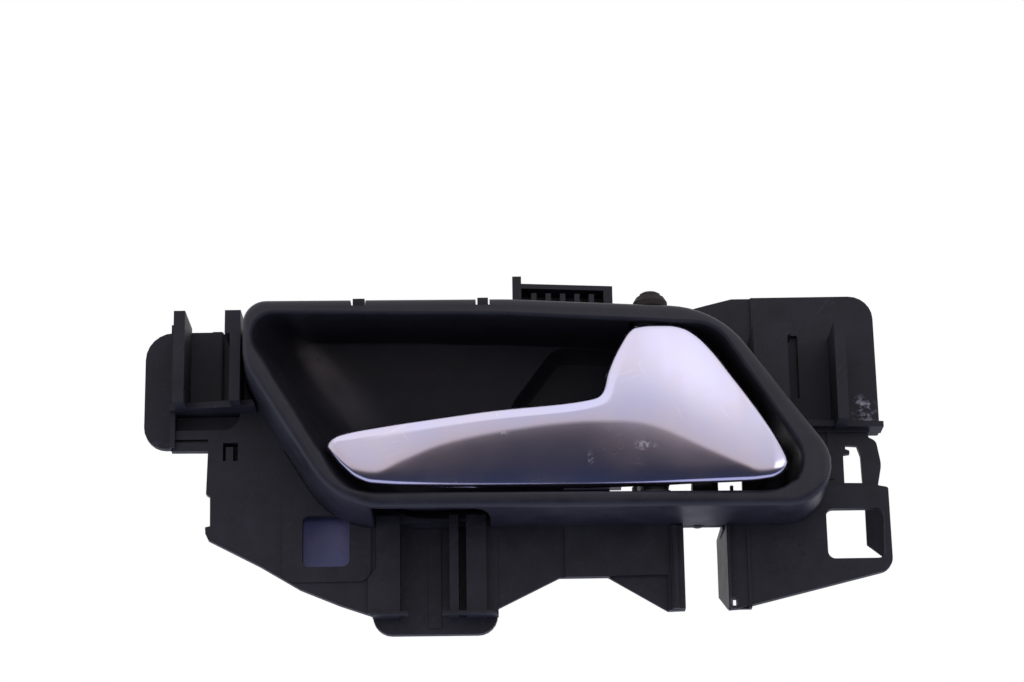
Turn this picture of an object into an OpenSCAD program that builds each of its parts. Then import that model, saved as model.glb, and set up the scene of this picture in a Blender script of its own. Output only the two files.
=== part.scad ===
// Inside door handle of a passenger car, seen as fitted in the door.
// X runs along the door, Y into the door, Z up. Millimetres.
// The origin is the centre of the left locating window, on the carrier's front face.

/* [Carrier] */
// Thickness of the flange and pad plates
plate_t = 2.5; // [1.8:0.1:3]
// Front face of the two upper pads, behind the flange face
pad_y = 4; // [3:0.5:6]
// Front face of the bottom tongue, behind the flange face
tongue_y = 5; // [3:0.5:6]
// Width of the left locating window
window_w = 11.5; // [8:0.5:12]
// Height of the left locating window
window_h = 12.8; // [9:0.1:13]
// Forward reach of the docking posts in front of the flange
post_reach = 11; // [8:0.5:13]

/* [Bezel] */
// Distance from the flange face to the front of the rim
rim_reach = 21; // [20:0.5:22]
// Wall of the moulded bowl
bowl_wall = 1.8; // [1.4:0.1:2]
// Depth of the bowl floor behind the flange face
floor_y = 2; // [1:0.5:3]
// Depth of the well behind the lever's rear end
well_y = 8; // [7:0.5:9]
// Radius of the rim's outer shoulder
rim_round = 1.8; // [1:0.2:2.4]

/* [Lever] */
// Distance from the flange face to the lever's crest
crest_reach = 24; // [23.6:0.1:24.4]
// Wall of the plated cover
cover_wall = 1.3; // [1:0.1:1.5]
// Plane where the cover sits on the core
seat_reach = 14.5; // [14:0.1:15]
// Thickness of the core plate
core_t = 2; // [1.5:0.1:2.4]

/* [Hinge] */
// Pin position along the door
pin_x = 80.2; // [80:0.1:80.4]
// Pin position in front of the flange face
pin_reach = 15; // [14.8:0.1:15.2]
// Pin diameter
pin_d = 3.5; // [3:0.1:3.8]
// Radial play of the pin in the ears and knuckles
pin_play = 0.05; // [0.03:0.01:0.08]
// Outer radius of the knuckles
knuckle_r = 3.2; // [3:0.1:3.3]
// Distance from the pin to the cable nipple
arm_len = 34; // [33:0.5:35]
// Opening angle of the lever, for views
open_angle = 0; // [0:1:34]

/* [Cable seat] */
// Bore for the cable's barrel nipple
nipple_d = 5.2; // [4.8:0.1:5.4]
// Seat diameter of the cable's ferrule
ferrule_d = 8; // [7:0.1:8.4]

/* [Hidden] */
$fn = 48;

pin_y = -pin_reach;
seat_y = -seat_reach;
rim_y = -rim_reach;
core_back = seat_y + core_t;
ear_half = 4.8;
upper_ear_z = [48.7, 52.1];
lower_ear_z = [4.4, 7.4];
cap_seat_z = 52.3;
hooks = [[7.4, 10.3, 56.7], [37.9, 40.5, 56.5]];
hook_y = -15.4;
tabs = [[48, 5.9], [104.5, 5.3]];
tab_w = 4;
comb_pitch = 3.55;
pip_centre = [112.4, -4.6];
pip_r = 4.2;
nipple_y = pin_y + arm_len;
cable_z = 14;
black = "#2b2a30";
satin = "#1b1b20";

// Outlines as [x, z, corner radius], clockwise from the upper left
rim_outer = [[-19.1, 55.8, 5.5], [45, 55.3, 120], [96.1, 52.4, 24],
             [132.2, 2.4, 10.3], [4, 3.7, 20], [-19.1, 40.6, 12]];
rim_inner = [[-16.7, 52.2, 5], [45, 50.9, 120], [95.7, 47.75, 9.7],
             [122, 5.5, 8.3], [6.8, 6.5, 14], [-16.7, 45.3, 8]];
floor_line = [[-6.2, 50.8, 4], [45, 50.1, 120], [94, 47.2, 9],
              [119.5, 7.2, 8], [22, 9, 14], [-6.2, 46, 5]];
well_line = [[57, 48.6, 5], [80, 47.6, 60], [93, 46, 9], [115, 9.5, 7], [46, 10, 8], [46, 34, 8]];
foot_line = [[-20.1, 55.8, 5.5], [45, 55.3, 120], [96.6, 52.7, 24],
             [132.8, 2.4, 10.3], [2, 3.3, 20], [-20.1, 38.6, 12]];
bowl_gap = [[-11.5, 53.4, 6], [45, 53, 120], [96, 50.4, 10],
            [124.5, 4.9, 9], [17, 5.4, 15], [-12, 45, 6]];

function unit(v) = v / norm(v);
function at(list, i) = list[(i + len(list)) % len(list)];
function mix(a, b, t) = a + (b - a) * t;
function mix_line(a, b, t) = [for (i = [0 : len(a) - 1]) mix(a[i], b[i], t)];

// Points of an outline whose corners are rounded by their own radius
function corner_arc(before, here, after, r, steps) =
    let (u = unit(before - here), v = unit(after - here),
         half = acos(max(-1, min(1, u * v))) / 2,
         centre = here + unit(u + v) * r / sin(half),
         start = here + u * r / tan(half) - centre,
         sweep = 180 - 2 * half,
         turn = u[0] * v[1] - u[1] * v[0] > 0 ? -1 : 1)
    [for (k = [0 : steps]) let (a = turn * sweep * k / steps)
        centre + [start[0] * cos(a) - start[1] * sin(a), start[0] * sin(a) + start[1] * cos(a)]];
function rounded(line, steps = 6) =
    [for (i = [0 : len(line) - 1])
        let (p = at(line, i - 1), q = line[i], n = at(line, i + 1),
             arc = q[2] == 0 ? [[q[0], q[1]]]
                 : corner_arc([p[0], p[1]], [q[0], q[1]], [n[0], n[1]], q[2], steps))
        each arc];

// An outline moved outwards by a distance, with its radii following
function grown(line, g) =
    [for (i = [0 : len(line) - 1])
        let (p = at(line, i - 1), q = line[i], n = at(line, i + 1),
             u = unit([q[0] - p[0], q[1] - p[1]]), v = unit([n[0] - q[0], n[1] - q[1]]),
             m = [-u[1] - v[1], u[0] + v[0]] / (1 + u * v))
        [q[0] + g * m[0], q[1] + g * m[1], max(0.4, q[2] + g)]];

// A plate drawn in front view, from depth y0 to depth y1
module plate(points, y0, y1) {
    translate([0, y1, 0]) rotate([90, 0, 0]) linear_extrude(y1 - y0) polygon(points);
}
module block(x, y, z) {
    translate([x[0], y[0], z[0]]) cube([x[1] - x[0], y[1] - y[0], z[1] - z[0]]);
}
module on_pin(z0, z1, r) {
    translate([pin_x, pin_y, z0]) cylinder(r = r, h = z1 - z0);
}

/* Carrier: one black moulding with plates, docking channels and pin ears */

flange_line = [[-38.4, 28.6, 0], [-38.4, 23.4, 0], [-29.3, 23.3, 0], [-29.6, 12.4, 0], [-28.6, 11.8, 0],
    [-28.5, 4.3, 0], [-29.7, 4, 0], [-29.6, 2.4, 0.6], [-28.9, 0.9, 0], [-16.1, -5.8, 0], [-6.3, -11.7, 0],
    [3.5, -15.8, 0], [11.3, -18.5, 0], [42, -18.5, 0], [42, -17, 0], [56.9, -9.7, 0], [68.8, -9.7, 0],
    [83.2, -18.3, 0], [87.4, -18.2, 0], [87.4, 3.4, 0], [98, 3.4, 0], [98, -18.2, 0], [100.6, -18, 0],
    [138.4, -8.8, 3.5], [138.2, 11.6, 0.6], [135.8, 12.1, 0], [136.9, 17.5, 7], [135.9, 23.6, 2],
    [133.9, 24.6, 0.8], [134.3, 26.6, 0], [134.3, 28, 0], [117, 29, 0], [98, 53.6, 18], [-18.6, 54.6, 4],
    [-18.6, 42, 0], [-21.5, 40, 0], [-21.5, 28.6, 4.2]];

module left_window() {
    w = window_w / 2;
    h = window_h / 2;
    plate(rounded([[-w, h, 1.6], [w, h, 1.6], [w, -h, 1.6], [-w, -h, 1.6]]), -3, plate_t + 1);
}

module right_window() {
    plate(rounded([[122.6, 6.4, 1.8], [137, 6.4, 1.8], [136.6, -6.1, 1.8], [122.7, -6.1, 1.8]]),
          -1, plate_t + 1);
}

module flange() {
    difference() {
        union() {
            plate(rounded(flange_line), 0, plate_t);
            // Pocket behind the clip hole
            block([-26.6, -20.9], [plate_t - 0.1, 5.2], [19.7, 26.3]);
            // Raised land round the left window
            intersection() {
                plate(rounded([[-10.7, 27, 0], [11, 27, 0], [11, -10.2, 3], [-10.7, -10.2, 3]]), -0.5, 0.2);
                plate(rounded(flange_line), -1, 0.3);
            }
        }
        left_window();
        right_window();
        // Clip hole on the left, and the groove by the pad
        block([-25.6, -21.9], [-1, 4.2], [20.7, 25.3]);
        block([-38.2, -29.3], [-1, 1.2], [25.5, 26.3]);
        // Hole with a hook's tip beside the spring finger, in a field let in behind the plate
        plate([[128.2, 22.6], [131.1, 22.4], [131.9, 19.8], [132.1, 12.9], [127.6, 13], [127.6, 20.2],
               [129.2, 20.4], [129.2, 21.2], [128.2, 21.6]], -1, plate_t + 1);
        plate([[124.4, 12.1], [138, 12.1], [138, 26.5], [116.5, 26.5]], -1, 0.8);
        // The docking channel below the bezel is let in behind the flange face
        block([12.2, 42], [-1, plate_t + 1], [-19, 4.5]);
        // Sunk fields right of the channel and left of the notch
        block([41.9, 58.4], [-1, 1], [-19, 3]);
        plate([[69.3, -9.5], [83.4, -9.5], [83.4, -19], [69.3, -19]], -1, 1.4);
    }
    // Finger in the clip hole
    block([-24.9, -23.1], [0.2, 4.3], [20.6, 24.3]);
    // Low rib beside the right hole, and the wall behind the right window
    block([123.8, 125.2], [0.4, 1], [14, 26]);
    block([137.2, 138.2], [plate_t - 0.1, 8], [-6, 6]);
    // Ring of pips on the lower right plate
    for (i = [0 : 11])
        translate([pip_centre[0] + pip_r * cos(30 * i), 0.1, pip_centre[1] + pip_r * sin(30 * i)])
            rotate([90, 0, 0]) cylinder(r = 0.4, h = 0.3, $fn = 10);
    // Ribs on the back of the lower plates
    for (rib = [[-20.6, -2.4, 20], [62, -9, 3], [104, -16, 3], [117, -12.5, 3]])
        block([rib[0], rib[0] + 1.2], [plate_t - 0.1, 5], [rib[1], rib[2]]);
}

module left_station() {
    difference() {
        // Pad plate behind the channel
        plate(rounded([[-45.8, 55.2, 7], [-20, 55.2, 0], [-20, 25.1, 0], [-45.8, 25.1, 5.5]]),
              pad_y, pad_y + plate_t);
        // Groove for the tab's edge
        block([-26.4, -24.9], [pad_y - 1, pad_y + 1.5], [37.5, 56]);
    }
    // Low rib on the channel's back
    block([-29, -26.7], [pad_y - 0.5, pad_y + 0.1], [34.6, 55.2]);
    // Outer wall and the two posts
    block([-38.6, -37.4], [-1.5, pad_y + 0.1], [24, 34]);
    block([-37.1, -34.3], [-post_reach, pad_y + 0.1], [33.1, 56.3]);
    block([-38.5, -37], [-3.4, pad_y + 0.1], [33.1, 55]);
    block([-23.2, -20.6], [-post_reach, pad_y + 0.1], [33.1, 56.3]);
    block([-24.5, -23.1], [-post_reach, pad_y + 0.1], [50.4, 56.3]);
    // Floor of the channel
    translate([0, 0, 33]) linear_extrude(1.6)
        polygon([[-38.6, -3.5], [-17.4, -6.5], [-17.4, pad_y + 0.1], [-38.6, pad_y + 0.1]]);
    // Steps between the pad and the flange
    block([-38.4, -29.5], [plate_t - 0.1, pad_y + 0.1], [25.1, 28.6]);
    block([-21.5, -18.8], [0, pad_y + 0.1], [28.6, 54]);
    block([-22.7, -21.4], [0.2, pad_y + 0.1], [33.1, 54]);
}

module lower_channel() {
    // Tongue plate with a low rib
    plate(rounded([[11.2, 12, 0], [41.8, 12, 0], [41.8, -22.5, 4.8], [11.2, -22.4, 4.8]]),
          tongue_y, tongue_y + plate_t);
    block([24.9, 28], [tongue_y - 0.4, tongue_y + 0.1], [-21, 5]);
    // Three bars of the channel, the left one wider at its foot
    for (bar = [[12.3, 18.1], [30.2, 32.4], [34.3, 39.2]])
        block(bar, [-1, tongue_y + 0.1], [-18.6, 6]);
    plate([[12.4, -7], [10.3, -9.5], [10.3, -18.2], [12.4, -18.4]], -1, 0.2);
    // Side walls down to the tongue
    block([11.2, 12.4], [0.2, tongue_y + 0.1], [-18.5, 5.4]);
    block([39.1, 42], [0.8, tongue_y + 0.1], [-18.5, 5.4]);
    // Lips at the foot of the bars
    for (lip = [[11.6, 20.1], [28.3, 41.6]])
        block(lip, [-1.4, 1.2], [-18.6, -17.9]);
}

module notch_walls() {
    // Wall left of the notch, with a half-round ridge
    block([84.2, 87.4], [-1.4, plate_t], [-18.2, 4]);
    translate([85.3, -1.4, -18.2]) cylinder(r = 0.8, h = 22);
    // Rounded stop at the head of the notch
    translate([91.1, plate_t, 5]) rotate([90, 0, 0]) cylinder(r = 2.6, h = plate_t - 0.4);
    // Deep wall right of the notch, cut back below
    intersection() {
        translate([0, 0, -18]) linear_extrude(20.5)
            polygon([[97.9, -1.4], [98.7, -1.4], [98.7, 5], [98, 20], [97, 20]]);
        translate([96, 0, 0]) rotate([90, 0, 90]) linear_extrude(4)
            polygon([[-2, -18], [2, -18], [21, -11], [21, 3], [-2, 3]]);
    }
    // Groove beside it, with a drain slot
    difference() {
        block([98.5, 103.6], [-1.4, plate_t], [-18, 4]);
        block([98.6, 102.9], [-2, 1.2], [-19, 5]);
        block([102.8, 104], [-2, -0.4], [-19, 5]);
        drain_slot();
    }
}
module drain_slot() {
    block([99, 99.9], [-2, plate_t + 1], [-17.4, -15.6]);
}

module right_station() {
    difference() {
        plate(rounded([[90, 59.2, 0], [94.5, 60.4, 0], [101.8, 62.2, 0], [137.1, 62.2, 6],
                       [137.4, 26.4, 0.6], [116, 26.4, 0], [116, 30, 0], [90, 50, 0]]),
              pad_y, pad_y + plate_t);
        // The part left of the step lies lower
        block([89, 106.5], [pad_y - 0.5, pad_y + 0.8], [40, 66]);
        // Groove for the tab's edge
        block([115.9, 117.9], [pad_y - 1, pad_y + 1.5], [35.7, 52]);
    }
    // Docking channel: broad inner post with a nib, thin outer post
    plate([[105.6, 51], [115, 51], [115, 48.2], [113.9, 47.6], [113.9, 29], [105.6, 36]],
          -post_reach, pad_y + 0.1);
    block([125.5, 128.2], [-post_reach, pad_y + 0.1], [26.4, 51.1]);
    // Shelf under the channel
    plate([[113, 28.6], [113, 27], [137.6, 26.4], [137.6, 27.8]], -2.4, pad_y + 0.1);
    // Steps between the pad and the flange
    block([117.5, 134.3], [0, pad_y + plate_t], [25.7, 27.6]);
    plate([[92, 54], [99, 53], [117.4, 29.2], [110, 29]], plate_t - 0.1, pad_y + 0.1);
}

module comb() {
    // Keying comb over the upper edge: post with a gusset, rail, five ribs, solid end and back wall
    block([46.5, 48.7], [-11, plate_t], [54.8, 63.9]);
    plate([[44.8, 55.2], [46.6, 58.6], [46.6, 55.2]], -9.5, -8);
    plate([[48.6, 60.8], [48.6, 62], [71.2, 61], [71.2, 59.8]], -11, plate_t);
    plate([[48.6, 54.9], [48.6, 56.3], [71.2, 55.2], [71.2, 53.9]], -11, plate_t);
    plate([[48.6, 53.8], [48.6, 61.5], [71.2, 60.5], [71.2, 53.8]], -4, plate_t);
    plate([[69, 54], [69, 61], [71.2, 60.9], [71.2, 54]], -11, plate_t);
    for (i = [0 : 4])
        block([51.15 + comb_pitch * i, 52.45 + comb_pitch * i], [-11, -3.9], [54.9, 59.5 - 0.12 * i]);
}

module bezel_hooks() {
    // Two snap fingers over the bezel's top edge, with their noses in its notches
    for (hook = hooks) {
        block([hook[0], hook[1]], [hook_y - 1.9, plate_t], [hook[2] - 0.9, hook[2]]);
        block([hook[0], hook[1]], [hook_y - 1.9, hook_y - 0.3], [hook[2] - 2.6, hook[2] - 0.8]);
        block([hook[0], hook[1]], [0, plate_t], [hook[2] - 2.8, hook[2]]);
    }
}

module rear_collar() {
    plate(rounded(grown(bowl_gap, 1.6)), plate_t - 0.1, 6);
}

module pin_ear(z) {
    difference() {
        union() {
            on_pin(z[0], z[1], 3.9);
            block([pin_x - ear_half + 0.9, pin_x + ear_half - 0.9], [pin_y, -1], z);
            block([pin_x - ear_half, pin_x + ear_half], [-6, plate_t], z);
        }
        on_pin(z[0] - 1, z[1] + 1, pin_d / 2 + pin_play);
    }
}

module rear_tray() {
    // Tray behind the bowl that carries the lever's stop and the cable's seat
    block([97.2, 118], [plate_t - 0.1, 23], [2, 4]);
    // Bracket and post behind the rest buffer, with a gusset
    block([98.2, 101], [10.6, 17.4], [3.9, 13]);
    block([95.6, 98.3], [10.6, 17.4], [10, 13]);
    block([95.6, 97.2], [10.6, 17.4], [12.9, 18]);
    block([100.2, 101], [10.6, 12], [12.9, 15.2]);
    plate([[100.9, 4], [100.9, 12], [106, 4]], 13.2, 14.8);
    // Saddle for the cable's ferrule, open towards the back
    difference() {
        block([108, 115], [13.6, 23], [3.9, 20]);
        translate([107, nipple_y, cable_z]) rotate([0, 90, 0]) cylinder(d = ferrule_d, h = 9);
        block([107, 116], [nipple_y, 24], [cable_z - ferrule_d / 2, cable_z + ferrule_d / 2]);
        // Groove for the ferrule's collar
        translate([110.6, nipple_y, cable_z]) rotate([0, 90, 0]) cylinder(d = ferrule_d + 2.4, h = 1.8);
    }
}

module carrier() {
    color(black) {
        difference() {
            union() {
                flange();
                left_station();
                notch_walls();
                right_station();
                comb();
                rear_collar();
            }
            // Room for the bezel in front of the flange, for its bowl and for its two tabs
            plate(rounded(grown(foot_line, 0.3)), -30, 0);
            plate(rounded(bowl_gap), -1, 12);
            for (tab = tabs)
                block([tab[0] - 0.5, tab[0] + tab_w + 0.5], [plate_t, 8], [tab[1] - 1.6, tab[1] + 2]);
            drain_slot();
        }
        lower_channel();
        bezel_hooks();
        pin_ear(upper_ear_z);
        pin_ear(lower_ear_z);
        rear_tray();
    }
}

/* Bezel: rim, skirt and bowl in one moulding */

// A closed ring of points at depth y
function ring(line, y, grow) = [for (p = rounded(grown(line, grow), 9)) [p[0], y, p[1]]];
// Solid through a list of rings, each given as [outline, depth, growth]
module chain(cuts) {
    for (i = [0 : len(cuts) - 2]) {
        near = ring(cuts[i][0], cuts[i][1], cuts[i][2]);
        far = ring(cuts[i + 1][0], cuts[i + 1][1], cuts[i + 1][2]);
        hull() polyhedron(concat(near, far), [[for (k = [0 : len(near) - 1]) k],
                                              [for (k = [0 : len(far) - 1]) len(near) + k]]);
    }
}
// The bowl's side at a share s of its depth: steep at the rim, rounded into the floor
function bowl_cut(s, grow) =
    [mix_line(rim_inner, floor_line, 0.5 * s + 0.5 * (1 - sqrt(1 - s * s))),
     mix(rim_y, floor_y, s), grow];
bowl_steps = [0.2, 0.4, 0.6, 0.75, 0.87, 0.95, 0.99, 1];

module bezel_outside() {
    r = rim_round;
    chain([[foot_line, 0, 0], [mix_line(foot_line, rim_outer, 0.9), rim_y + r, 0],
           for (a = [20 : 17.5 : 90]) [rim_outer, rim_y + r - r * sin(a), r * cos(a) - r]]);
}
module skirt_inside() {
    chain([[foot_line, 0.5, -2], [rim_outer, rim_y + 2.4, -2]]);
}
module bowl_outside() {
    chain([for (s = [0.05, 0.4, 0.75, 0.95, 1]) bowl_cut(s, bowl_wall),
           [floor_line, floor_y + bowl_wall, 0]]);
    chain([[well_line, floor_y, bowl_wall + 0.6], [well_line, well_y, bowl_wall - 0.8],
           [well_line, well_y + bowl_wall, -0.6]]);
}
module bowl_inside() {
    chain([[rim_inner, rim_y - 1, 1.8], [rim_inner, rim_y + 0.3, 0.5], [rim_inner, rim_y + 1, 0.1],
           for (s = bowl_steps) bowl_cut(s, 0)]);
    chain([[well_line, floor_y - 0.6, 0.7], [well_line, floor_y + 1, 0.3],
           [well_line, well_y - 1.5, -0.6], [well_line, well_y, -2]]);
}

module bezel() {
    slot = [pin_x - ear_half - 0.4, pin_x + ear_half + 0.4];
    color(satin) difference() {
        union() {
            difference() {
                bezel_outside();
                skirt_inside();
            }
            bowl_outside();
            // Tabs with barbs behind the flange
            for (tab = tabs) {
                block([tab[0], tab[0] + tab_w], [-2, 4.6], [tab[1], tab[1] + 1.2]);
                block([tab[0], tab[0] + tab_w], [plate_t + 0.3, 4.6], [tab[1] - 1.2, tab[1] + 0.1]);
            }
        }
        bowl_inside();
        // Slots for the carrier's pin ears and the seat of the pin's cap
        block(slot, [pin_y - 4.3, plate_t + 1], [46.6, 52.4]);
        block(slot, [pin_y - 4.3, plate_t + 1], [4.1, 9.4]);
        on_pin(52.25, 57, 4.7);
        // Opening in the well's floor for the arm and the cable
        block([58.6, 70.8], [floor_y - 1, well_y + 3], [10.6, 18.2]);
        block([70.7, 103], [floor_y - 1, well_y + 3], [10.6, 22]);
        // Notches for the noses of the carrier's snap fingers
        for (hook = hooks)
            block([hook[0] - 0.4, hook[1] + 0.4], [rim_y - 1, hook_y], [hook[2] - 3, 58]);
        // Arch in the skirt over the lower docking channel
        linear_extrude(7.6)
            polygon([[11.8, 3], [11.8, -18.4], [36.6, -18.4], [38.6, -17], [39.8, -14], [40.4, -9.5],
                     [40.4, 3]]);
    }
}

/* Lever: plated cover over a black core */

// Edges and crest of the lever in front view, [x, z]
top_edge = [[1.2, 19.5], [2.4, 20.7], [5, 21.8], [12.3, 23.2], [27.5, 25.1], [42.4, 26.8], [57.5, 28],
            [63.5, 28.8], [66.3, 29.5], [67.8, 31], [68.8, 35], [70.3, 39], [72.4, 43.2], [74.4, 46.4],
            [76, 47.6], [79.7, 48.1], [84.6, 48.2], [88, 47.5], [91.4, 45.3], [94.9, 41.4], [99.3, 35],
            [105, 26.6], [109.4, 19.4], [111.2, 16], [112, 14.1]];
low_edge = [[1.2, 18.3], [2.2, 16.9], [4.8, 13.9], [8.7, 10.9], [12.3, 9.8], [20, 9.4], [42, 9],
            [72, 8.9], [101.9, 9.1], [107.5, 9.5], [109.8, 10.3], [111.4, 11.6], [112, 12.8]];
crest_line = [[1.2, 18.5], [8, 12.4], [13, 11.6], [19.2, 14.2], [28.7, 18], [38.3, 20.2], [47.8, 21.7],
              [57.4, 22.8], [64.6, 23.2], [71.7, 23.2], [76.5, 22.7], [81.3, 21.3], [86, 19.2],
              [90.8, 16.8], [95.5, 14.6], [100.3, 12.4], [105, 10.6], [112, 12]];
// How far the crest stands back from its foremost plane
crest_drop = [[1.2, 3.4], [4, 2.3], [9, 1.5], [30, 0.6], [57, 0], [86, 0], [100, 0.6], [108, 1.7],
              [112, 3.1]];
// Width of the bevel along the top edge, and the slope of the facet below the crest
bevel_width = [[1.2, 0.9], [12, 1.4], [40, 1.7], [60, 2], [68, 2.4], [74, 2.2], [80, 1.2], [112, 1]];
facet_slope = [[1.2, 0.34], [64, 0.34], [74, 0.27], [86, 0.27], [100, 0.34], [112, 0.34]];
stations = [1.2, 1.5, 2, 2.8, 4, 5.5, 7.5, 10, 12.3, 16, 20, 27, 34, 42, 50, 57.5, 61, 63.5, 65.3, 66.5,
            67.5, 68.3, 69.2, 70.2, 71.4, 72.6, 73.8, 75,
            pin_x - 4.2, pin_x - 3.8, pin_x - 2, pin_x, pin_x + 2, pin_x + 3.8, pin_x + 4.2,
            86.5, 88.7, 90.8, 92.8, 94.9, 97, 99.3, 102, 105, 107.5, 109.3, 110.4, 111.2, 111.7, 112];
edge_r = 0.8;

// Smooth curve through a table of [x, value] that never overshoots it
function slope(t, i) = (t[i + 1][1] - t[i][1]) / (t[i + 1][0] - t[i][0]);
function lean(t, i) =
    i == 0 ? slope(t, 0) : i == len(t) - 1 ? slope(t, i - 1)
    : let (a = slope(t, i - 1), b = slope(t, i)) a * b <= 0 ? 0 : 2 * a * b / (a + b);
function bend(x, t, i = 0) =
    i < len(t) - 2 && x > t[i + 1][0] ? bend(x, t, i + 1)
    : let (h = t[i + 1][0] - t[i][0], s = (x - t[i][0]) / h, r = 1 - s)
      t[i][1] * (1 + 2 * s) * r * r + lean(t, i) * h * s * r * r
      + t[i + 1][1] * s * s * (3 - 2 * s) - lean(t, i + 1) * h * s * s * r;

top_points = [for (x = stations) [x, bend(x, top_edge)]];
low_points = [for (x = stations) [x, bend(x, low_edge)]];
// Distance from a point to a run of line segments
function gap_to(p, line) =
    min([for (i = [0 : len(line) - 2])
        let (a = line[i], ab = line[i + 1] - a, t = max(0, min(1, (p - a) * ab / (ab * ab))))
        norm(p - a - t * ab)]);

// Depth of the cover's front: facet below the crest, crowned above it, bevelled and rounded at the edge
function front(x, z) =
    let (u = z - bend(x, crest_line), fall = lookup(x, facet_slope),
         to_top = gap_to([x, z], top_points), to_edge = min(to_top, gap_to([x, z], low_points)),
         b = bend(x, bevel_width) - to_top, soft = 0.3,
         bevel = b < -soft ? 0 : b > soft ? b : (b + soft) * (b + soft) / (4 * soft),
         e = max(0, edge_r - to_edge))
    -crest_reach + bend(x, crest_drop)
    + (0.05 - fall) / 2 * u + (0.05 + fall) / 2 * (sqrt(u * u + 0.5) - 0.7)
    + (u > 0 ? 0.0024 * u * u : 0) + 0.7 * bevel + edge_r - sqrt(edge_r * edge_r - e * e);

// Depth of the cover's rear edge: notched for the knuckles, thinner at the tip
function rear_edge(x) =
    abs(x - pin_x) < 4 ? pin_y - knuckle_r - 0.3 : lookup(x, [[1.2, seat_y - 2.6], [12, seat_y]]);
// Heights of the points of a cross-section, from the low edge to the top edge
function heights(x) =
    let (zt = bend(x, top_edge), zb = bend(x, low_edge), k = min(1, (zt - zb) / 9),
         zc = max(zb + 2.6 * k, min(zt - 4.6 * k, bend(x, crest_line))))
    concat([for (d = [0, 0.15, 0.4, 0.8, 1.3]) zb + d * k],
           [for (v = [0.35, 0.7]) mix(zb + 1.3 * k, zc - 0.9 * k, v)],
           [for (d = [-0.9, -0.3, 0.3, 0.9]) zc + d * k],
           [for (v = [0.3, 0.65]) mix(zc + 0.9 * k, zt - 2.8 * k, v)],
           [for (d = [2.8, 2.1, 1.5, 1, 0.65, 0.35, 0.15, 0]) zt - d * k]);
function cover_ring(x) =
    let (hs = heights(x), back = rear_edge(x))
    concat([[hs[0], back]], [for (z = hs) [z, min(back - 0.1, front(x, z))]], [[hs[len(hs) - 1], back]]);
// The cavity follows the front at a wall's distance and fades to a shallow dish at both ends
function cavity_ring(x) =
    let (outer = cover_ring(x), back = rear_edge(x), w = cover_wall,
         zt = min([for (d = [-w, 0, w]) bend(max(1.2, min(112, x + d)), top_edge)]) - 0.8 * w,
         zb = max([for (d = [-w, 0, w]) bend(max(1.2, min(112, x + d)), low_edge)]) + w,
         open = x > 5.2 && x < 108)
    open ? [[zt, back], for (i = [19, 17, 15, 13, 11, 9, 7, 5, 3])
                let (z = max(zb, min(zt, outer[i][0]))) [z, min(back - 0.05, front(x, z) + w)], [zb, back]]
         : let (a = outer[20][0], b = outer[0][0])
           [for (k = [0 : 10]) [mix(a, b, 0.1 + 0.8 * k / 10), back - 0.05 - 0.006 * k * (10 - k)]];
function skin(rings) =
    let (n = len(rings[0]), m = len(rings))
    concat([[for (k = [0 : n - 1]) n - 1 - k]],
           [for (i = [0 : m - 2], k = [0 : n - 1], side = [0, 1])
               let (a = i * n + k, b = i * n + (k + 1) % n)
               side == 0 ? [a, b, a + n] : [b, b + n, a + n]],
           [[for (k = [0 : n - 1]) (m - 1) * n + k]]);

module lever_cover() {
    rings = [for (x = stations) [for (p = concat(cover_ring(x), cavity_ring(x))) [x, p[1], p[0]]]];
    color("#c6bfce")
        polyhedron([for (ring = rings) each ring], skin(rings), convexity = 6);
}

core_line = [[12.3, 21.4, 1], [12.3, 11.8, 1], [40, 10.8, 0], [103, 10.8, 3], [109, 13.4, 3], [103, 25.6, 8],
             [92, 42, 4], [88, 46.2, 3], [77, 46.2, 2], [72, 37.5, 0], [69, 28.8, 3], [57, 26.4, 0]];

module lever_core() {
    knuckles = [[7.8, 19.4], [37.6, 48.3]];
    color("#232328") {
        difference() {
            union() {
                plate(rounded(core_line), seat_y, core_back);
                for (z = knuckles) on_pin(z[0], z[1], knuckle_r);
                // Webs that tie the knuckles to the plate
                for (z = knuckles)
                    block([pin_x - 3.4, pin_x + 3.4], [pin_y, core_back], [max(z[0], 9.2), min(z[1], 46)]);
                // Stiffening ribs on the back
                block([14, 70], [core_back - 0.1, core_back + 1.6], [17, 18.2]);
                for (z = [[12.5, 19.4], [22, 38]])
                    block([86, 87.4], [core_back - 0.1, core_back + 1.4], z);
                // Arm to the cable
                block([pin_x - 3, pin_x + 3], [pin_y + 3, nipple_y], [10.8, 17]);
                translate([pin_x, nipple_y, 10.8]) cylinder(r = 4.2, h = 6.2);
                // Foot that meets the rest buffer
                block([pin_x + 2.9, 90.7], [12, 15.6], [10.8, 13.9]);
            }
            for (z = knuckles) on_pin(z[0] - 1, z[1] + 1, pin_d / 2 + pin_play);
            // Room for the spring between the knuckles
            block([pin_x - 5.6, pin_x + 5.6], [pin_y - 6, core_back + 1], [19.4, 37.6]);
            // Bore and cable slot for the nipple
            translate([pin_x, nipple_y, 9]) cylinder(d = nipple_d, h = 10);
            block([pin_x, pin_x + 6], [nipple_y - 1, nipple_y + 1], [9, 18]);
        }
    }
}

/* Hinge hardware */

module pivot_pin() {
    color("#b9a970") {
        on_pin(4.9, 52.2, pin_d / 2);
        on_pin(52.15, 53.1, pin_d / 2 + 0.9);
    }
}

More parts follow.
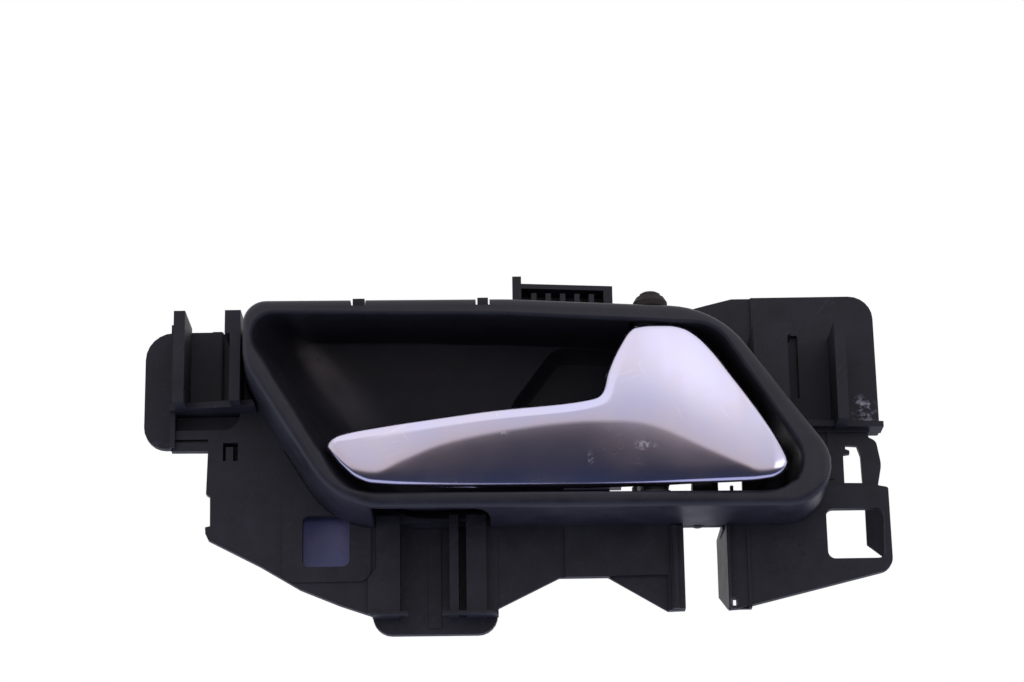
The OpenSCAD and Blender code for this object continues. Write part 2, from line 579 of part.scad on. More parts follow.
spring_r = 3.5;
spring_wire = 0.55;
spring_turns = 8;
spring_z = [21, 36];
function coil_point(t) =
    let (a = 360 * spring_turns * t + 90)
    [pin_x + spring_r * cos(a), pin_y + spring_r * sin(a), mix(spring_z[0], spring_z[1], t)];
coil_path = concat([[pin_x + 12, core_back + 1.2, spring_z[0] - 0.4],
                    [pin_x + 5, pin_y + 4.2, spring_z[0] - 0.2]],
                   [for (i = [1 : spring_turns * 12 - 1]) coil_point(i / (spring_turns * 12))],
                   [[pin_x - 4.6, pin_y + 5, spring_z[1] + 0.1], [pin_x - 8, -2, spring_z[1] + 0.2]]);
function tube_ring(path, i, r, sides) =
    let (n = len(path), ahead = unit(path[min(n - 1, i + 1)] - path[max(0, i - 1)]),
         side = unit(cross(ahead, [0, 0.05, 1])), up = cross(side, ahead))
    [for (k = [0 : sides - 1]) let (a = 360 * k / sides) path[i] + r * (side * cos(a) + up * sin(a))];

module return_spring() {
    rings = [for (i = [0 : len(coil_path) - 1]) tube_ring(coil_path, i, spring_wire, 6)];
    color("#c9b35a")
        polyhedron([for (ring = rings) each ring], skin(rings), convexity = 8);
}

module pin_cap() {
    // Soft cap on the pin's head
    color("#2a211b") difference() {
        translate([pin_x, pin_y, 0]) rotate_extrude()
            polygon([[0, cap_seat_z], [3.9, cap_seat_z], [3.9, 53.6], [4.2, 53.7], [4.2, 55.1],
                     [4, 55.4], [3.4, 56.4], [2.7, 56.6], [2.5, 57.3], [1.8, 57.7], [0, 57.8]]);
        on_pin(52, 53.2, pin_d / 2 + 1);
    }
}

module rest_buffer() {
    color("#2a211b")
        translate([90.8, 13.8, 14.2]) rotate([0, 90, 0]) cylinder(r = 3.2, h = 4.8);
}

module open_buffer() {
    // Domed stop on the well's floor
    color("#2a211b")
        translate([97.4, 0, 25.6]) rotate([-90, 0, 0]) rotate_extrude()
            polygon([[0, 0.9], [1.6, 1.1], [2.8, 1.8], [3.3, 2.9], [3.3, well_y], [0, well_y]]);
}

module swung() {
    translate([pin_x, pin_y, 0]) rotate([0, 0, open_angle]) translate([-pin_x, -pin_y, 0]) children();
}

carrier();
bezel();
swung() lever_cover();
swung() lever_core();
pivot_pin();
return_spring();
pin_cap();
rest_buffer();
open_buffer();
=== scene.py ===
"""Inside door handle of a car: the finishes, finer shapes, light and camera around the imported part.
Pieces are in metres in the part's frame: X along the door, Y into the door, Z up."""
import math

import bmesh
import bpy
import numpy as np
from mathutils import Matrix, Vector


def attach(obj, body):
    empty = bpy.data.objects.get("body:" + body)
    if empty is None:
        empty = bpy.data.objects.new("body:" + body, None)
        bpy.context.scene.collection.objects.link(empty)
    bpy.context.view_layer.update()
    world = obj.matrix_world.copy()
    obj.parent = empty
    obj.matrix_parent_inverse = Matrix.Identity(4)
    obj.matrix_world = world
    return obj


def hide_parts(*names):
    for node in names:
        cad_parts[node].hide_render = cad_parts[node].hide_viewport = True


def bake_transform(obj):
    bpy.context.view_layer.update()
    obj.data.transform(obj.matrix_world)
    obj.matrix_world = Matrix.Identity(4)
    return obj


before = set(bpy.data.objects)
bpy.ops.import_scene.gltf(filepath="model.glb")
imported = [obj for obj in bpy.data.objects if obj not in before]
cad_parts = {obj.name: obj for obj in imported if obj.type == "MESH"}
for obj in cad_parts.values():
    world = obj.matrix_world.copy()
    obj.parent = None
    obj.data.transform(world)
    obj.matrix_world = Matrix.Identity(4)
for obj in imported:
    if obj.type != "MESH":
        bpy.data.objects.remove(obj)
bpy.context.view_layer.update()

MM = 0.001
SAME_PLACE, FLAT_ANGLE, SHARP_ANGLE = 0.002 * MM, 0.6, 32


# Meshes

def new_piece(name, bm, material, body, replaced=()):
    """An object from a bmesh, with its finish and the nodes it stands for. A blended piece has no body."""
    mesh = bpy.data.meshes.new(name)
    bm.to_mesh(mesh)
    bm.free()
    mesh.materials.append(material)
    piece = bpy.data.objects.new(name, mesh)
    bpy.context.scene.collection.objects.link(piece)
    if replaced:
        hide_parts(*replaced)
    if body:
        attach(piece, body)
    return piece


def smooth_by_angle(bm, degrees):
    """Smooth faces, with a sharp edge wherever two faces meet at more than the angle."""
    limit = math.radians(degrees)
    for face in bm.faces:
        face.smooth = True
    for edge in bm.edges:
        edge.smooth = len(edge.link_faces) == 2 and edge.calc_face_angle(0) < limit


def merged_node(node):
    """A copy of a node's mesh, with its doubles merged and its flat faces joined."""
    bm = bmesh.new()
    bm.from_mesh(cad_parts[node].data)
    bmesh.ops.remove_doubles(bm, verts=bm.verts, dist=SAME_PLACE)
    bmesh.ops.dissolve_limit(bm, angle_limit=math.radians(FLAT_ANGLE), verts=bm.verts, edges=bm.edges)
    smooth_by_angle(bm, SHARP_ANGLE)
    return bm


def soften_edges(piece, width):
    """Moulded edges are never quite sharp."""
    bevel = piece.modifiers.new("soft edges", "BEVEL")
    bevel.width = width
    bevel.segments = 2
    bevel.limit_method = "ANGLE"
    bevel.angle_limit = math.radians(SHARP_ANGLE)
    bevel.harden_normals = True
    bevel.use_clamp_overlap = True


# Materials

def add(tree, kind, values=None, **settings):
    """A shader node with its settings and the values of its inputs."""
    node = tree.nodes.new(kind)
    for key, value in settings.items():
        setattr(node, key, value)
    for key, value in (values or {}).items():
        node.inputs[key].default_value = value
    return node


def join(tree, output, *inputs):
    """Links an output to one or more inputs."""
    for socket in inputs:
        tree.links.new(output, socket)


def colour(*shown):
    """A linear colour from the 0 to 255 values that a screen shows."""
    levels = (v / 255 for v in shown)
    return tuple(((v + 0.055) / 1.055) ** 2.4 if v > 10 / 255 else v / 12.92 for v in levels) + (1.0,)


def new_group(name, inputs, outputs):
    """An empty node group with float or colour sockets: {name: default}."""
    tree = bpy.data.node_groups.new(name, "ShaderNodeTree")
    for label, default in inputs.items():
        kind = "NodeSocketColor" if isinstance(default, tuple) else "NodeSocketFloat"
        tree.interface.new_socket(label, in_out="INPUT", socket_type=kind).default_value = default
    for label, kind in outputs.items():
        tree.interface.new_socket(label, in_out="OUTPUT", socket_type=kind)
    return tree, tree.nodes.new("NodeGroupInput"), tree.nodes.new("NodeGroupOutput")


def moulding_group():
    """Spark-eroded mould texture: a fine height, a cloudy value for sheen and a sparse dust mask."""
    tree, start, end = new_group(
        "Mould texture", {"Grain size mm": 0.35, "Cloud size mm": 14.0, "Dust": 0.1},
        {"Height": "NodeSocketFloat", "Cloud": "NodeSocketFloat", "Dust": "NodeSocketFloat"})
    place = add(tree, "ShaderNodeTexCoord")
    sizes = []
    for label in ("Grain size mm", "Cloud size mm"):
        per_metre = add(tree, "ShaderNodeMath", {0: 1000.0}, operation="DIVIDE")
        join(tree, start.outputs[label], per_metre.inputs[1])
        sizes.append(per_metre)
    grain = add(tree, "ShaderNodeTexNoise", {"Detail": 3.0, "Roughness": 0.6})
    cloud = add(tree, "ShaderNodeTexNoise", {"Detail": 5.0, "Roughness": 0.62})
    specks = add(tree, "ShaderNodeTexNoise", {"Scale": 900.0, "Detail": 2.0})
    for noise, size in ((grain, sizes[0]), (cloud, sizes[1])):
        join(tree, size.outputs[0], noise.inputs["Scale"])
    for noise in (grain, cloud, specks):
        join(tree, place.outputs["Object"], noise.inputs["Vector"])
    ramp = add(tree, "ShaderNodeMapRange", {"From Min": 0.62, "From Max": 0.78})
    join(tree, specks.outputs["Fac"], ramp.inputs["Value"])
    dusty = add(tree, "ShaderNodeMath", operation="MULTIPLY")
    join(tree, ramp.outputs[0], dusty.inputs[0])
    join(tree, start.outputs["Dust"], dusty.inputs[1])
    join(tree, grain.outputs["Fac"], end.inputs["Height"])
    join(tree, cloud.outputs["Fac"], end.inputs["Cloud"])
    join(tree, dusty.outputs[0], end.inputs["Dust"])
    return tree


def scratch_group():
    """Fine scratches from handling: long thin streaks at a slant, where a patchy mask lets them show."""
    tree, start, end = new_group(
        "Scratches", {"Slant": 0.5, "Spacing mm": 1.2, "Amount": 0.5}, {"Mask": "NodeSocketFloat"})
    place = add(tree, "ShaderNodeTexCoord")
    turn = add(tree, "ShaderNodeVectorRotate", rotation_type="Y_AXIS")
    join(tree, place.outputs["Object"], turn.inputs["Vector"])
    join(tree, start.outputs["Slant"], turn.inputs["Angle"])
    stretch = add(tree, "ShaderNodeMapping", {"Scale": (0.03, 1.0, 1.0)})
    join(tree, turn.outputs[0], stretch.inputs["Vector"])
    density = add(tree, "ShaderNodeMath", {0: 1000.0}, operation="DIVIDE")
    join(tree, start.outputs["Spacing mm"], density.inputs[1])
    streaks = add(tree, "ShaderNodeTexNoise", {"Detail": 2.0, "Roughness": 0.5})
    join(tree, stretch.outputs[0], streaks.inputs["Vector"])
    join(tree, density.outputs[0], streaks.inputs["Scale"])
    thin = add(tree, "ShaderNodeMapRange", {"From Min": 0.66, "From Max": 0.72})
    join(tree, streaks.outputs["Fac"], thin.inputs["Value"])
    patches = add(tree, "ShaderNodeTexNoise", {"Scale": 90.0, "Detail": 2.0})
    join(tree, place.outputs["Object"], patches.inputs["Vector"])
    where = add(tree, "ShaderNodeMapRange", {"From Min": 0.45, "From Max": 0.65})
    join(tree, patches.outputs["Fac"], where.inputs["Value"])
    masked = add(tree, "ShaderNodeMath", operation="MULTIPLY")
    join(tree, thin.outputs[0], masked.inputs[0])
    join(tree, where.outputs[0], masked.inputs[1])
    amount = add(tree, "ShaderNodeMath", operation="MULTIPLY")
    join(tree, masked.outputs[0], amount.inputs[0])
    join(tree, start.outputs["Amount"], amount.inputs[1])
    join(tree, amount.outputs[0], end.inputs["Mask"])
    return tree


MOULDING = moulding_group()
SCRATCHES = scratch_group()


def new_material(name, **values):
    """A material with one Principled shader and its constant values."""
    material = bpy.data.materials.new(name)
    material.use_nodes = True
    tree = material.node_tree
    shader = tree.nodes["Principled BSDF"]
    for key, value in values.items():
        shader.inputs[key.replace("_", " ")].default_value = value
    return material, tree, shader


def group(tree, kind, **values):
    """A node group placed in a material with its own values."""
    node = add(tree, "ShaderNodeGroup", node_tree=kind)
    for key, value in values.items():
        node.inputs[key.replace("_", " ")].default_value = value
    return node


def blend_colour(tree, low, high, factor):
    """Two colours mixed by a factor output. Each is a colour or an output."""
    mix = add(tree, "ShaderNodeMix", data_type="RGBA")
    join(tree, factor, mix.inputs["Factor"])
    for socket, value in ((mix.inputs[6], low), (mix.inputs[7], high)):
        if isinstance(value, tuple):
            socket.default_value = value
        else:
            join(tree, value, socket)
    return mix.outputs[2]


def spread(tree, output, low, high, from_low=0.3, from_high=0.7):
    """A noise value moved to the range from low to high."""
    ramp = add(tree, "ShaderNodeMapRange",
               {"From Min": from_low, "From Max": from_high, "To Min": low, "To Max": high})
    join(tree, output, ramp.inputs["Value"])
    return ramp.outputs[0]


def bump(tree, shader, height, distance, strength=1.0, below=None):
    """A bump in metres on the shader, on top of the one below."""
    node = add(tree, "ShaderNodeBump", {"Strength": strength, "Distance": distance})
    join(tree, height, node.inputs["Height"])
    if below is not None:
        join(tree, below.outputs[0], node.inputs["Normal"])
    join(tree, node.outputs[0], shader.inputs["Normal"])
    return node


def patch_mask(tree, centre, radius, edge_noise=260.0):
    """A ragged patch round a place on the object, in metres."""
    place = add(tree, "ShaderNodeTexCoord")
    off = add(tree, "ShaderNodeVectorMath", {1: centre}, operation="SUBTRACT")
    join(tree, place.outputs["Object"], off.inputs[0])
    flat = add(tree, "ShaderNodeVectorMath", {1: tuple(1 / r for r in radius)}, operation="MULTIPLY")
    join(tree, off.outputs[0], flat.inputs[0])
    length = add(tree, "ShaderNodeVectorMath", operation="LENGTH")
    join(tree, flat.outputs[0], length.inputs[0])
    inside = add(tree, "ShaderNodeMapRange", {"From Min": 1.0, "From Max": 0.3})
    join(tree, length.outputs["Value"], inside.inputs["Value"])
    noise = add(tree, "ShaderNodeTexNoise", {"Scale": edge_noise, "Detail": 6.0, "Roughness": 0.75})
    join(tree, place.outputs["Object"], noise.inputs["Vector"])
    ragged = spread(tree, noise.outputs["Fac"], 0.0, 1.0, 0.47, 0.56)
    both = add(tree, "ShaderNodeMath", operation="MULTIPLY")
    join(tree, inside.outputs[0], both.inputs[0])
    join(tree, ragged, both.inputs[1])
    return both.outputs[0]


def painted_highlight_mask(tree, centre, slant, long, wide):
    """A soft streak of painted highlight across the X and Z of the object, in metres. It fades towards its
    low end.
    """
    place = add(tree, "ShaderNodeTexCoord")
    off = add(tree, "ShaderNodeVectorMath", {1: centre}, operation="SUBTRACT")
    join(tree, place.outputs["Object"], off.inputs[0])
    turn = add(tree, "ShaderNodeVectorRotate", {"Angle": slant}, rotation_type="Y_AXIS")
    join(tree, off.outputs[0], turn.inputs["Vector"])
    flat = add(tree, "ShaderNodeVectorMath", {1: (1 / long, 0, 1 / wide)}, operation="MULTIPLY")
    join(tree, turn.outputs[0], flat.inputs[0])
    length = add(tree, "ShaderNodeVectorMath", operation="LENGTH")
    join(tree, flat.outputs[0], length.inputs[0])
    inside = add(tree, "ShaderNodeMapRange", {"From Min": 1.0, "From Max": 0.0},
                 interpolation_type="SMOOTHSTEP")
    join(tree, length.outputs["Value"], inside.inputs["Value"])
    return inside.outputs[0]


def moulded_plastic(name, dark, light, dusty, roughness, gloss, grain_mm, relief_mm, scuffs=(), streaks=()):
    """Black moulded plastic: cloudy sheen, fine mould grain, a little dust, scratches and scuffs, and streaks
    of painted highlight.
    """
    material, tree, shader = new_material(name, Specular_IOR_Level=gloss)
    texture = group(tree, MOULDING, Grain_size_mm=grain_mm, Cloud_size_mm=7.0, Dust=0.16)
    scratches = group(tree, SCRATCHES, Slant=0.9, Spacing_mm=0.9, Amount=0.2)
    tint = blend_colour(tree, dark, light, spread(tree, texture.outputs["Cloud"], 0.0, 1.0))
    tint = blend_colour(tree, tint, dusty, texture.outputs["Dust"])
    tint = blend_colour(tree, tint, dusty, scratches.outputs["Mask"])
    for centre, radius, shade in scuffs:
        tint = blend_colour(tree, tint, shade, patch_mask(tree, centre, radius))
    # The streaks are painted highlights laid into the colour
    for centre, slant, long, wide, shade in streaks:
        tint = blend_colour(tree, tint, shade, painted_highlight_mask(tree, centre, slant, long, wide))
    join(tree, tint, shader.inputs["Base Color"])
    join(tree, spread(tree, texture.outputs["Cloud"], roughness - 0.06, roughness + 0.08),
         shader.inputs["Roughness"])
    bump(tree, shader, texture.outputs["Height"], relief_mm * MM)
    return material


def satin_plating(name):
    """Satin plated lever, rubbed by hands in places, with hairline scratches."""
    material, tree, shader = new_material(name, Metallic=1.0)
    cloud = group(tree, MOULDING, Grain_size_mm=0.5, Cloud_size_mm=22.0, Dust=0.0)
    fine = group(tree, SCRATCHES, Slant=0.35, Spacing_mm=0.45, Amount=0.3)
    coarse = group(tree, SCRATCHES, Slant=-1.1, Spacing_mm=0.8, Amount=0.35)
    tint = blend_colour(tree, PLATING_COOL, PLATING_WARM, spread(tree, cloud.outputs["Cloud"], 0.0, 1.0))
    marks = add(tree, "ShaderNodeMath", operation="MAXIMUM")
    join(tree, fine.outputs["Mask"], marks.inputs[0])
    join(tree, coarse.outputs["Mask"], marks.inputs[1])
    for centre, radius in PLATING_RUBS:
        rub = add(tree, "ShaderNodeMath", operation="MAXIMUM")
        join(tree, marks.outputs[0], rub.inputs[0])
        join(tree, patch_mask(tree, centre, radius, RUB_NOISE), rub.inputs[1])
        marks = rub
    tint = blend_colour(tree, tint, PLATING_SCRATCH, marks.outputs[0])
    join(tree, tint, shader.inputs["Base Color"])
    base = spread(tree, cloud.outputs["Cloud"], 0.16, 0.24)
    rough = add(tree, "ShaderNodeMath", {1: 0.22}, operation="MULTIPLY")
    join(tree, marks.outputs[0], rough.inputs[0])
    total = add(tree, "ShaderNodeMath", operation="ADD")
    join(tree, base, total.inputs[0])
    join(tree, rough.outputs[0], total.inputs[1])
    join(tree, total.outputs[0], shader.inputs["Roughness"])
    waves = bump(tree, shader, cloud.outputs["Cloud"], 0.05 * MM, 0.5)
    bump(tree, shader, marks.outputs[0], 0.004 * MM, 1.0, waves)
    return material


def plated_steel(name, low, high, roughness):
    """Zinc-plated steel with a cloudy passivated colour."""
    material, tree, shader = new_material(name, Metallic=1.0)
    cloud = group(tree, MOULDING, Grain_size_mm=0.2, Cloud_size_mm=3.0, Dust=0.0)
    join(tree, blend_colour(tree, low, high, spread(tree, cloud.outputs["Cloud"], 0.0, 1.0)),
         shader.inputs["Base Color"])
    join(tree, spread(tree, cloud.outputs["Cloud"], roughness, roughness + 0.15), shader.inputs["Roughness"])
    bump(tree, shader, cloud.outputs["Height"], 0.004 * MM)
    return material


def rubber(name, dark, bloom):
    """Soft rubber with a pale bloom in patches."""
    material, tree, shader = new_material(name, Specular_IOR_Level=0.3)
    texture = group(tree, MOULDING, Grain_size_mm=0.25, Cloud_size_mm=2.5, Dust=0.3)
    tint = blend_colour(tree, dark, bloom, spread(tree, texture.outputs["Cloud"], 0.0, 1.0))
    join(tree, blend_colour(tree, tint, bloom, texture.outputs["Dust"]), shader.inputs["Base Color"])
    join(tree, spread(tree, texture.outputs["Cloud"], 0.6, 0.78), shader.inputs["Roughness"])
    bump(tree, shader, texture.outputs["Height"], 0.03 * MM)
    return material


PLATING_COOL = colour(187, 187, 219)
PLATING_WARM = colour(197, 188, 203)
PLATING_SCRATCH = colour(226, 222, 236)
PALE_SCUFF = colour(176, 178, 194)
# Rubbed places on the lever, where keys and rings have touched it: centre and radius in metres
PLATING_RUBS = [((0.0777, -0.022, 0.0172), (0.0034, 0.004, 0.0015)),
                ((0.0438, -0.022, 0.0205), (0.0022, 0.004, 0.0007)),
                ((0.0646, -0.022, 0.0145), (0.0009, 0.004, 0.0019))]
RUB_NOISE = 700.0

# White scuff on the right pad, a small pale spot on the post beside it and chips at the plate's low corners
CARRIER_SCUFFS = [
    ((0.1338, 0.004, 0.0325), (0.0036, 0.0018, 0.0044), PALE_SCUFF),
    ((0.0992, -0.001, -0.0165), (0.0012, 0.004, 0.0016), PALE_SCUFF),
    ((-0.0418, 0.004, 0.0262), (0.0034, 0.004, 0.001), colour(84, 84, 96)),
]

# The bowl's upper left fillet carries a painted highlight: a bright head and a wider faint tail
BOWL_HIGHLIGHT_SLANT = math.radians(-53)
BOWL_PAINTED_HIGHLIGHTS = [((0.0, 0, 0.0425), BOWL_HIGHLIGHT_SLANT, 0.0135, 0.0046, colour(112, 106, 108)),
                ((0.0035, 0, 0.0375), BOWL_HIGHLIGHT_SLANT, 0.0185, 0.0085, colour(62, 60, 64))]

carrier_plastic = moulded_plastic(
    "Carrier plastic", colour(31, 30, 37), colour(46, 45, 53), colour(82, 81, 92), 0.55, 0.22, 0.4, 0.016,
    CARRIER_SCUFFS)
bezel_plastic = moulded_plastic(
    "Bezel plastic", colour(33, 32, 40), colour(45, 44, 53), colour(74, 73, 84), 0.42, 0.3, 0.3, 0.008)
grained_bowl_with_painted_highlight = moulded_plastic(
    "Grained bowl with painted highlight", colour(32, 31, 36), colour(38, 37, 42), colour(54, 53, 60), 0.36, 0.06, 0.5, 0.008,
    streaks=BOWL_PAINTED_HIGHLIGHTS)
# The pocket's lining is painted shade: a pale blue-grey for the shaded backdrop seen through the left window,
# with the mould's dust specks
pocket_painted_shade = moulded_plastic(
    "Pocket painted shade", colour(96, 107, 158), colour(126, 126, 170), colour(132, 134, 160), 0.45, 0.3, 0.4, 0.01)
core_plastic = moulded_plastic(
    "Core plastic", colour(24, 24, 27), colour(31, 31, 34), colour(60, 60, 66), 0.5, 0.3, 0.5, 0.012)
plating = satin_plating("Satin plating")
pin_steel = plated_steel("Zinc steel", colour(196, 184, 140), colour(176, 158, 112), 0.28)
spring_steel = plated_steel("Spring steel", colour(206, 176, 96), colour(170, 140, 84), 0.3)
soft_rubber = rubber("Soft rubber", colour(27, 23, 25), colour(42, 36, 38))


# Lever cover: a fine skin on the same outlines and crest as the part's, in millimetres

# Tables of [x, value]: edges and crest as heights, the rest as depths, widths and slopes
TOP_EDGE = [[1.2, 19.5], [2.4, 20.7], [5, 21.8], [12.3, 23.2], [27.5, 25.1], [42.4, 26.8], [57.5, 28],
            [63.5, 28.8], [66.3, 29.5], [67.8, 31], [68.8, 35], [70.3, 39], [72.4, 43.2], [74.4, 46.4],
            [76, 47.6], [79.7, 48.1], [84.6, 48.2], [88, 47.5], [91.4, 45.3], [94.9, 41.4], [99.3, 35],
            [105, 26.6], [109.4, 19.4], [111.2, 16], [112, 14.1]]
LOW_EDGE = [[1.2, 18.3], [2.2, 16.9], [4.8, 13.7], [8.7, 10.4], [12.3, 9.1], [20, 8.6], [42, 8.2],
            [72, 8.1], [101.9, 8.3], [107.5, 8.9], [109.8, 9.8], [111.4, 11.4], [112, 12.8]]
CREST = [[1.2, 18.5], [8, 12.4], [13, 11.6], [19.2, 14.2], [28.7, 18], [38.3, 20.2], [47.8, 21.7],
         [57.4, 22.8], [64.6, 23.2], [71.7, 23.2], [76.5, 22.7], [81.3, 21.3], [86, 19.2],
         [90.8, 16.8], [95.5, 14.6], [100.3, 12.4], [105, 10.6], [112, 12]]
CREST_DROP = [[1.2, 3.4], [4, 2.3], [9, 1.5], [30, 0.6], [57, 0], [86, 0], [100, 0.6], [108, 1.7], [112, 3.1]]
BEVEL_WIDTH = [[1.2, 1], [8, 2.2], [20, 2.6], [60, 2.6], [68, 2.4], [74, 2.2], [80, 1.2], [112, 1]]
FACET_SLOPE = [[1.2, 0.3], [64, 0.28], [74, 0.23], [86, 0.23], [100, 0.31], [112, 0.31]]
# Below the crest lies the facet, above it the arm, and the crest between them is soft
FACET_CROWN, ARM_CROWN, ARM_SLOPE, CREST_SOFTNESS, CREST_SINK = 0.005, 0.0024, 0.05, 0.5, 0.7
PIN_X, PIN_Y, KNUCKLE_R = 80.2, -15.0, 3.2
KNUCKLE_NOTCH, KNUCKLE_PLAY = 4, 0.3
CREST_REACH, SEAT_REACH, EDGE_R = 24.0, 14.5, 1.0
TIP_THINNING, TIP_SPAN = 2.6, [1.2, 12]
BEVEL_SLOPE, BEVEL_SOFTNESS = 0.34, 0.3
LOW_ROLL, LOW_ROLL_HEIGHT, TUCK, TUCK_SHARE = 0.0165, 4.0, 2.5, 0.4
COVER_WALL = 1.1
# Steps of a cross-section from its low edge, its crest and its top edge, and shares in between
FULL_SECTION = 9
LOW_STEPS, CREST_STEPS = (0, 0.15, 0.4, 0.8, 1.3), (-0.9, -0.3, 0.3, 0.9)
TOP_STEPS = (2.8, 2.1, 1.5, 1, 0.65, 0.35, 0.15, 0)
FACET_SHARES, ARM_SHARES = (0.35, 0.7), (0.3, 0.65)
CREST_OVER_LOW, CREST_UNDER_TOP = 2.6, 4.6
# Cross-sections along X, closest where the arm turns up into the fin
STATIONS = [1.2, 1.5, 2, 2.8, 4, 5.5, 7.5, 10, 12.3, 16, 20, 27, 34, 42, 50, 57.5, 61, 63.5, 65.3, 66.5,
            67.5, 68.3, 69.2, 70.2, 71.4, 72.6, 73.8, 75, 76, 76.4, 78.2, 80.2, 82.2, 84, 84.4,
            86.5, 88.7, 90.8, 92.8, 94.9, 97, 99.3, 102, 105, 107.5, 109.3, 110.4, 111.2, 111.7, 112]
ROWS_PER_STATION, ROWS_PER_HEIGHT = 5, 3


def smooth_curve(table, x):
    """A smooth curve through a table of [x, value] that never overshoots it."""
    xs, ys = np.array(table, float).T
    rise = np.diff(ys) / np.diff(xs)
    before, after = rise[:-1], rise[1:]
    total = np.where(before + after == 0, 1, before + after)
    inner = np.where(before * after > 0, 2 * before * after / total, 0)
    lean = np.concatenate([[rise[0]], inner, [rise[-1]]])
    i = np.clip(np.searchsorted(xs, x) - 1, 0, len(xs) - 2)
    h = xs[i + 1] - xs[i]
    s = (x - xs[i]) / h
    r = 1 - s
    return (ys[i] * (1 + 2 * s) * r * r + lean[i] * h * s * r * r
            + ys[i + 1] * s * s * (3 - 2 * s) - lean[i + 1] * h * s * s * r)


def gap_to(x, z, line):
    """Distance from points to a run of line segments."""
    best = np.full(x.shape, np.inf)
    for (ax, az), (bx, bz) in zip(line[:-1], line[1:]):
        dx, dz = bx - ax, bz - az
        t = np.clip(((x - ax) * dx + (z - az) * dz) / (dx * dx + dz * dz), 0, 1)
        best = np.minimum(best, np.hypot(x - ax - t * dx, z - az - t * dz))
    return best


def cover_front(x, z):
    """Depth of the cover's front: facet below the crest, crowned above it, bevelled at the top edge."""
    last = len(STATIONS) - 1
    fine = np.interp(np.linspace(0, last, 3 * len(STATIONS)), range(len(STATIONS)), STATIONS)
    top_line = np.column_stack([fine, smooth_curve(TOP_EDGE, fine)])
    low_line = np.column_stack([fine, smooth_curve(LOW_EDGE, fine)])
    to_top = gap_to(x, z, top_line)
    to_edge = np.minimum(to_top, gap_to(x, z, low_line))
    for end in (0, -1):
        to_edge = np.minimum(to_edge, gap_to(x, z, [top_line[end], low_line[end]]))
    u = z - smooth_curve(CREST, x)
    fall = np.interp(x, *np.array(FACET_SLOPE, float).T)
    soft = BEVEL_SOFTNESS
    b = smooth_curve(BEVEL_WIDTH, x) - to_top
    bevel = np.where(b < -soft, 0, np.where(b > soft, b, (b + soft) ** 2 / (4 * soft)))
    e = np.maximum(0, EDGE_R - to_edge)
    return (-CREST_REACH + smooth_curve(CREST_DROP, x) + (ARM_SLOPE - fall) / 2 * u
            + (ARM_SLOPE + fall) / 2 * (np.sqrt(u * u + CREST_SOFTNESS) - CREST_SINK)
            + np.where(u > 0, ARM_CROWN, FACET_CROWN) * u * u
            + BEVEL_SLOPE * bevel + EDGE_R - np.sqrt(EDGE_R * EDGE_R - e * e)
            + LOW_ROLL * np.maximum(0, LOW_ROLL_HEIGHT - z + smooth_curve(LOW_EDGE, x)) ** 2)


def cover_heights(x):
    """Heights of a cross-section's points, from the low edge to the top edge."""
    top, low = smooth_curve(TOP_EDGE, x), smooth_curve(LOW_EDGE, x)
    k = np.minimum(1, (top - low) / FULL_SECTION)
    highest = np.minimum(top - CREST_UNDER_TOP * k, smooth_curve(CREST, x))
    crest = np.maximum(low + CREST_OVER_LOW * k, highest)
    low_run = [low + d * k for d in LOW_STEPS]
    crest_run = [crest + d * k for d in CREST_STEPS]
    top_run = [top - d * k for d in TOP_STEPS]
    facet = [low_run[-1] + v * (crest_run[0] - low_run[-1]) for v in FACET_SHARES]
    arm = [crest_run[-1] + v * (top_run[0] - crest_run[-1]) for v in ARM_SHARES]
    return np.array(low_run + facet + crest_run + arm + top_run)


def rear_edge(x):
    """Depth of the cover's rear edge: notched for the knuckles and thinner at the tip."""
    seat = np.interp(x, TIP_SPAN, [-SEAT_REACH - TIP_THINNING, -SEAT_REACH])
    return np.where(abs(x - PIN_X) < KNUCKLE_NOTCH, PIN_Y - KNUCKLE_R - KNUCKLE_PLAY, seat)


def make_lever_cover():
    """A grid laid on the cover's front, with its border drawn back to the rear edge."""
    columns = (len(STATIONS) - 1) * ROWS_PER_STATION
    heights = len(cover_heights(np.array([50.0])))
    rows = (heights - 1) * ROWS_PER_HEIGHT
    bm = bmesh.new()
    bmesh.ops.create_grid(bm, x_segments=columns, y_segments=rows, size=0.5)
    across = np.array([v.co.x + 0.5 for v in bm.verts])
    up = np.array([v.co.y + 0.5 for v in bm.verts])
    x = np.interp(across * (len(STATIONS) - 1), range(len(STATIONS)), STATIONS)
    levels = cover_heights(x)
    place = np.clip(up * (heights - 1), 0, heights - 1.0001)
    i = place.astype(int)
    z = levels[i, range(len(x))] * (1 - place + i) + levels[i + 1, range(len(x))] * (place - i)
    y = np.minimum(cover_front(x, z), rear_edge(x) - 0.1)
    for v, point in zip(bm.verts, zip(x, y, z)):
        v.co = Vector(point) * MM
    edges = [e for e in bm.edges if e.is_boundary]
    wall = bmesh.ops.extrude_edge_only(bm, edges=edges)["geom"]
    for v in wall:
        if isinstance(v, bmesh.types.BMVert):
            x = np.array([v.co.x / MM])
            middle = (smooth_curve(TOP_EDGE, x)[0] + smooth_curve(LOW_EDGE, x)[0]) / 2 * MM
            v.co.y = float(rear_edge(x)[0]) * MM
            # The underside rises towards the back, so only the polished edge shows from below
            if v.co.z < middle:
                v.co.z += min(TUCK * MM, TUCK_SHARE * (middle - v.co.z))
    bmesh.ops.recalc_face_normals(bm, faces=bm.faces)
    if sum(f.normal.y * f.calc_area() for f in bm.faces) > 0:
        bmesh.ops.reverse_faces(bm, faces=bm.faces)
    smooth_by_angle(bm, 50)
    cover = new_piece("lever_cover_skin", bm, plating, "lever", ["lever_cover"])
    shell = cover.modifiers.new("wall", "SOLIDIFY")
    shell.thickness = COVER_WALL * MM
    shell.offset = -1
    shell.thickness_clamp = 1.0


make_lever_cover()


# Mouldings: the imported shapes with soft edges, and what they carry besides, in millimetres

